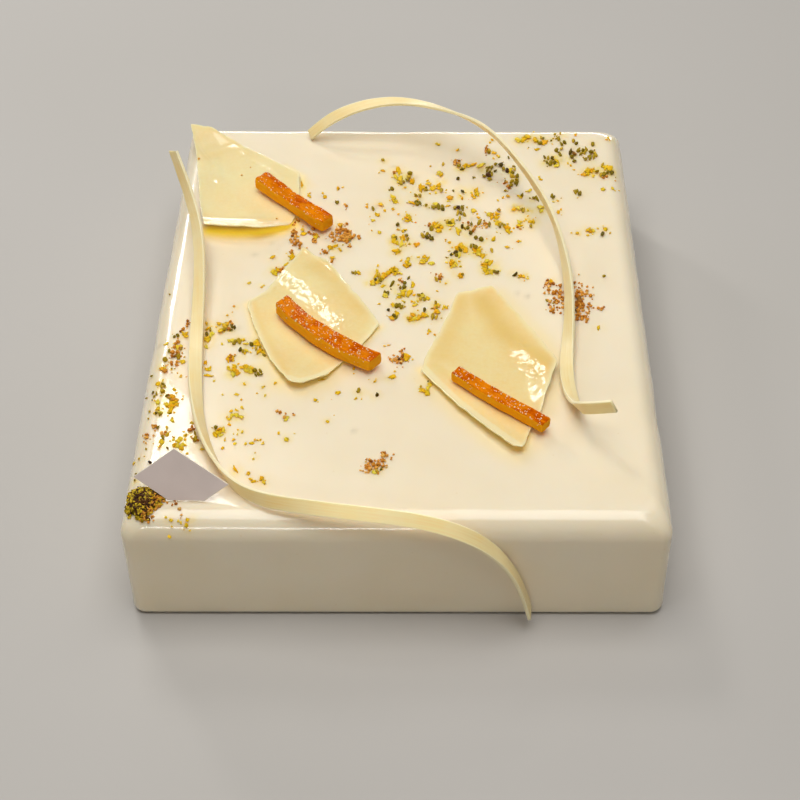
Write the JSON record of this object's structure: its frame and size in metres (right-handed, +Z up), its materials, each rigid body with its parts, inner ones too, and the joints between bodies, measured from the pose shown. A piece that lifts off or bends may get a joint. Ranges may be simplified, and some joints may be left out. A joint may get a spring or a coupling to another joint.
{
  "type": "glazed entremet cake",
  "caption": "Rectangular white mirror-glazed entremet topped with curled white-chocolate shards and ribbons, candied orange sticks, chopped nuts and a blank plaque.",
  "frame": {"origin": "middle of the cake's flat underside, where it stands", "axes": "+Z up, +X to the right along the cake's short side, +Y to the back along its long side; the plaque stands at the front left"},
  "size_m": [0.1809, 0.2318, 0.0684],
  "materials": {
    "glaze": "ivory mirror glaze, opaque, very glossy with soft rounded edges",
    "white_chocolate_shard": "thin moulded white chocolate, warm ivory, glossy in places with a paler rim, slightly translucent",
    "white_chocolate_ribbon": "satin white chocolate strip with crisp cut edges",
    "candied_orange": "candied orange peel, deep orange glossy top with sugar specks, amber translucent sides",
    "plaque": "warm grey satin plaque, blank",
    "pistachio": "chopped roasted pistachio, olive green with brown skins, matt"
  },
  "bodies": {
    "root": {"cake_body": "glaze", "shard_back_left": "white_chocolate_shard", "shard_centre": "white_chocolate_shard", "shard_right": "white_chocolate_shard", "orange_stick_back_left": "candied_orange", "orange_stick_centre": "candied_orange", "orange_stick_right": "candied_orange", "ribbon_left": "white_chocolate_ribbon", "ribbon_arc": "white_chocolate_ribbon", "plaque": "plaque", "pistachio_clump": "pistachio"}
  },
  "joints": []
}
